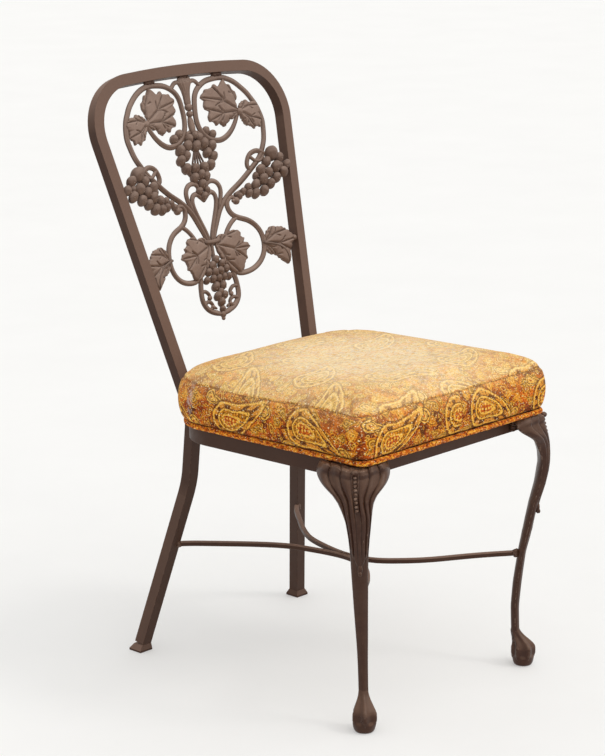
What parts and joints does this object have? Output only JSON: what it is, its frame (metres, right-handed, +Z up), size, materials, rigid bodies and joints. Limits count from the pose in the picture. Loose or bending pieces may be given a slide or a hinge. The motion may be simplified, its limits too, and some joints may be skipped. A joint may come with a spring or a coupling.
{
  "type": "garden side chair",
  "caption": "Metal garden side chair: square-tube back hoop with a cast grapevine panel, cabriole claw-foot front legs and a boxed fabric seat cushion.",
  "frame": {"origin": "on the floor, at the centre of the chair's footprint box", "axes": "+Z up, the seat faces -Y, the sitter's right is -X"},
  "size_m": [0.4868, 0.629, 0.9545],
  "materials": {
    "frame_paint": "cocoa brown paint, satin, worn on the edges",
    "leg_casting": "cocoa brown paint on a rough casting",
    "medallion_casting": "cocoa brown paint on a rough casting",
    "board": "bare plywood",
    "screws": "zinc plated, dull",
    "cushion_fabric": "woven chenille paisley in rust, gold and olive",
    "welt_fabric": "same cloth on cord"
  },
  "bodies": {
    "root": {"back_hoop": "frame_paint", "bottom_grapes": "medallion_casting", "bottom_loop": "medallion_casting", "center_grapes": "medallion_casting", "corner_tab_front_left": "frame_paint", "corner_tab_front_right": "frame_paint", "corner_tab_rear_left": "frame_paint", "corner_tab_rear_right": "frame_paint", "finial": "medallion_casting", "front_leg_left": "leg_casting", "front_leg_right": "leg_casting", "front_rail": "frame_paint", "heart_curl_left": "medallion_casting", "heart_curl_right": "medallion_casting", "heart_scroll_left": "medallion_casting", "heart_scroll_right": "medallion_casting", "lower_leaf_left": "medallion_casting", "lower_leaf_right": "medallion_casting", "lower_scroll_left": "medallion_casting", "lower_scroll_right": "medallion_casting", "main_scroll_left": "medallion_casting", "main_scroll_right": "medallion_casting", "medallion_side_welds": "frame_paint", "medallion_top_welds": "frame_paint", "outer_leaf_left": "medallion_casting", "outer_leaf_right": "medallion_casting", "rear_foot_left": "frame_paint", "rear_foot_right": "frame_paint", "seat_band": "frame_paint", "seat_band_welds": "frame_paint", "seat_board": "board", "seat_cushion": "cushion_fabric", "seat_screws": "screws", "seat_welt": "welt_fabric", "side_grapes_left": "medallion_casting", "side_grapes_right": "medallion_casting", "side_leaf_left": "medallion_casting", "side_leaf_right": "medallion_casting", "stretcher_center_weld": "frame_paint", "stretcher_end_welds": "frame_paint", "stretcher_left": "frame_paint", "stretcher_right": "frame_paint", "tie_band": "medallion_casting", "upper_leaf_left": "medallion_casting", "upper_leaf_right": "medallion_casting", "vine_curl_left": "medallion_casting", "vine_curl_right": "medallion_casting"}
  },
  "joints": []
}
